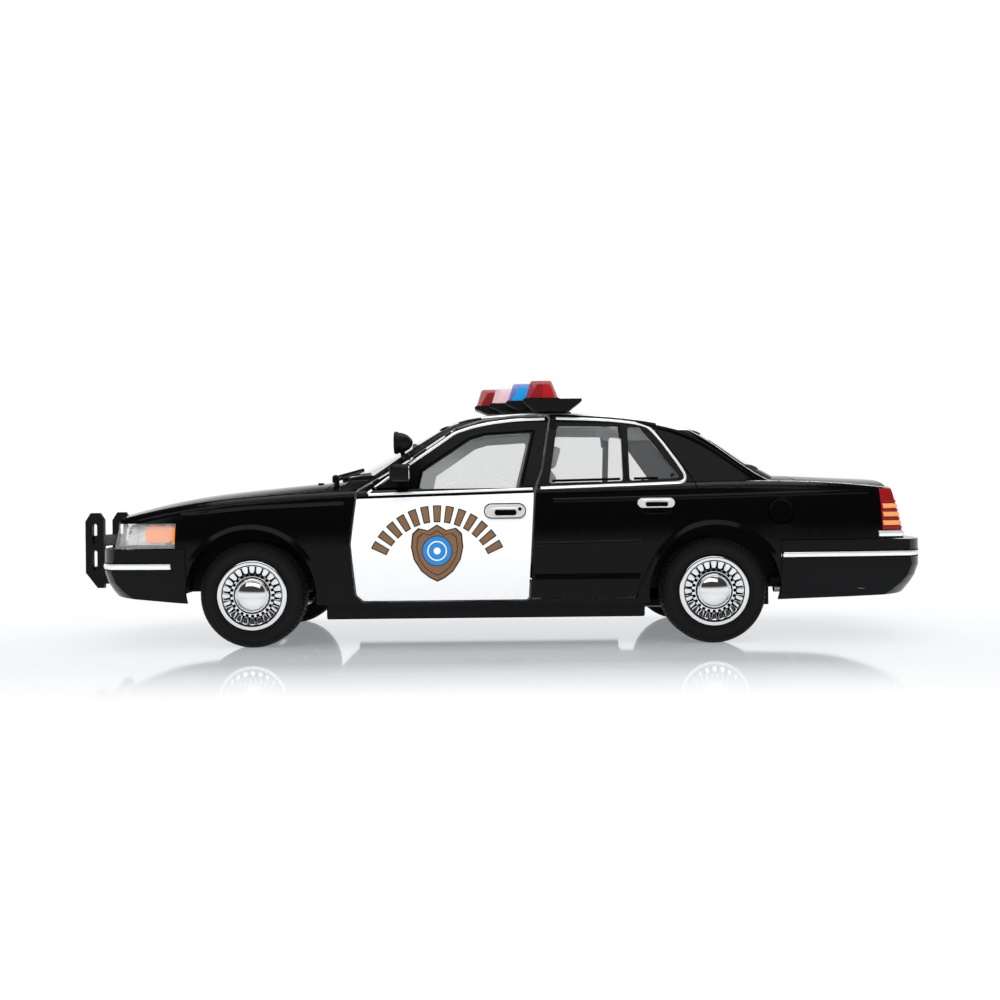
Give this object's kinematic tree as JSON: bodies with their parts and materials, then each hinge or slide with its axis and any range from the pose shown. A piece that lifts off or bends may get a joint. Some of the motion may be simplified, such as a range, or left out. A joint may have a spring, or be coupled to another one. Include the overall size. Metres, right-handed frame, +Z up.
{
  "type": "scale model police patrol car",
  "caption": "Die-cast scale model of a four-door patrol sedan with roof light bar, push bar, opening doors, hood and trunk lid, and steering wheels that roll.",
  "frame": {"origin": "on the floor under the middle of the overall length and width", "axes": "-X to the front, -Y to the driver's side, +Z up"},
  "size_m": [0.31, 0.1182, 0.0938],
  "materials": {
    "black_paint": "gloss",
    "plastic_black": "satin",
    "chrome": "polished",
    "steel": "satin",
    "tyre": "matte",
    "trim_grey": "satin",
    "glass": "clear",
    "lamp_clear": "clear",
    "lamp_amber": "clear",
    "lamp_red": "clear",
    "lamp_blue": "clear",
    "cast_metal": "matte"
  },
  "bodies": {
    "car": {"body_shell": "black_paint", "front_bumper": "black_paint", "rear_bumper": "black_paint", "grille": "chrome", "header_backing": "plastic_black", "windshield": "glass", "rear_window": "glass", "dashboard": "trim_grey", "steering_wheel": "trim_grey", "chassis": "plastic_black", "cabin_tub": "trim_grey", "rear_bench": "trim_grey", "engine": "cast_metal", "light_bar_base": "plastic_black", "light_bar_red": "lamp_red", "light_bar_blue": "lamp_blue", "light_bar_clear": "lamp_clear", "push_bar": "plastic_black", "wipers": "plastic_black", "exhaust": "steel", "headlamp_left": "lamp_clear", "turn_lamp_left": "lamp_amber", "tail_lamp_left": "lamp_red", "rear_door_glass_left": "glass", "front_seat_left": "trim_grey", "rear_door_handle_left": "chrome", "spotlight_left": "plastic_black", "headlamp_right": "lamp_clear", "turn_lamp_right": "lamp_amber", "tail_lamp_right": "lamp_red", "rear_door_glass_right": "glass", "front_seat_right": "trim_grey", "rear_door_handle_right": "chrome", "spotlight_right": "plastic_black"},
    "door_left": {"door_left": "black_paint", "door_card_left": "trim_grey", "door_handle_left": "chrome", "mirror_left": "plastic_black"},
    "knuckle_left": {"knuckle_left": "plastic_black"},
    "front_wheel_left": {"front_wheel_left": "chrome", "front_tyre_left": "tyre"},
    "door_right": {"door_right": "black_paint", "door_card_right": "trim_grey", "door_handle_right": "chrome", "mirror_right": "plastic_black"},
    "knuckle_right": {"knuckle_right": "plastic_black"},
    "front_wheel_right": {"front_wheel_right": "chrome", "front_tyre_right": "tyre"},
    "hood": {"hood": "black_paint"},
    "trunk_lid": {"trunk_lid": "black_paint"},
    "tie_rod": {"tie_rod": "plastic_black"},
    "rear_wheels": {"rear_axle": "steel", "rear_wheel_left": "chrome", "rear_tyre_left": "tyre", "rear_wheel_right": "chrome", "rear_tyre_right": "tyre"}
  },
  "joints": [
    {"name": "hood_hinge", "type": "hinge", "parent": "car", "child": "hood", "pos_m": [-0.0637, 0, 0.0572], "axis": [0, 1, 0], "range_deg": [0, 50]},
    {"name": "trunk_hinge", "type": "hinge", "parent": "car", "child": "trunk_lid", "pos_m": [0.1077, 0, 0.0588], "axis": [0, -1, 0], "range_deg": [0, 60]},
    {"name": "tie_rod_slide", "type": "slide", "parent": "car", "child": "tie_rod", "axis": [0, 1, 0], "range_m": [-0.00393, 0.00393]},
    {"name": "rear_axle_spin", "type": "hinge", "parent": "car", "child": "rear_wheels", "pos_m": [0.0762, 0, 0.0185], "axis": [0, 1, 0], "continuous": true},
    {"name": "door_left_hinge", "type": "hinge", "parent": "car", "child": "door_left", "pos_m": [-0.0518, -0.0551, 0.035], "axis": [0, 0, -1], "range_deg": [0, 62]},
    {"name": "steer_left", "type": "hinge", "parent": "car", "child": "knuckle_left", "pos_m": [-0.0856, -0.034, 0.0185], "axis": [0, 0, 1], "range_deg": [-25, 25]},
    {"name": "front_wheel_left_spin", "type": "hinge", "parent": "knuckle_left", "child": "front_wheel_left", "pos_m": [-0.0856, -0.0444, 0.0185], "axis": [0, 1, 0], "continuous": true},
    {"name": "door_right_hinge", "type": "hinge", "parent": "car", "child": "door_right", "pos_m": [-0.0518, 0.0551, 0.035], "axis": [0, 0, 1], "range_deg": [0, 62]},
    {"name": "steer_right", "type": "hinge", "parent": "car", "child": "knuckle_right", "pos_m": [-0.0856, 0.034, 0.0185], "axis": [0, 0, 1], "range_deg": [-25, 25]},
    {"name": "front_wheel_right_spin", "type": "hinge", "parent": "knuckle_right", "child": "front_wheel_right", "pos_m": [-0.0856, 0.0444, 0.0185], "axis": [0, 1, 0], "continuous": true}
  ],
  "couplings": [
    {"joint": "steer_right", "follows": "steer_left", "ratio": 1},
    {"joint": "tie_rod_slide", "follows": "steer_left", "m_per_rad": 0.009}
  ]
}
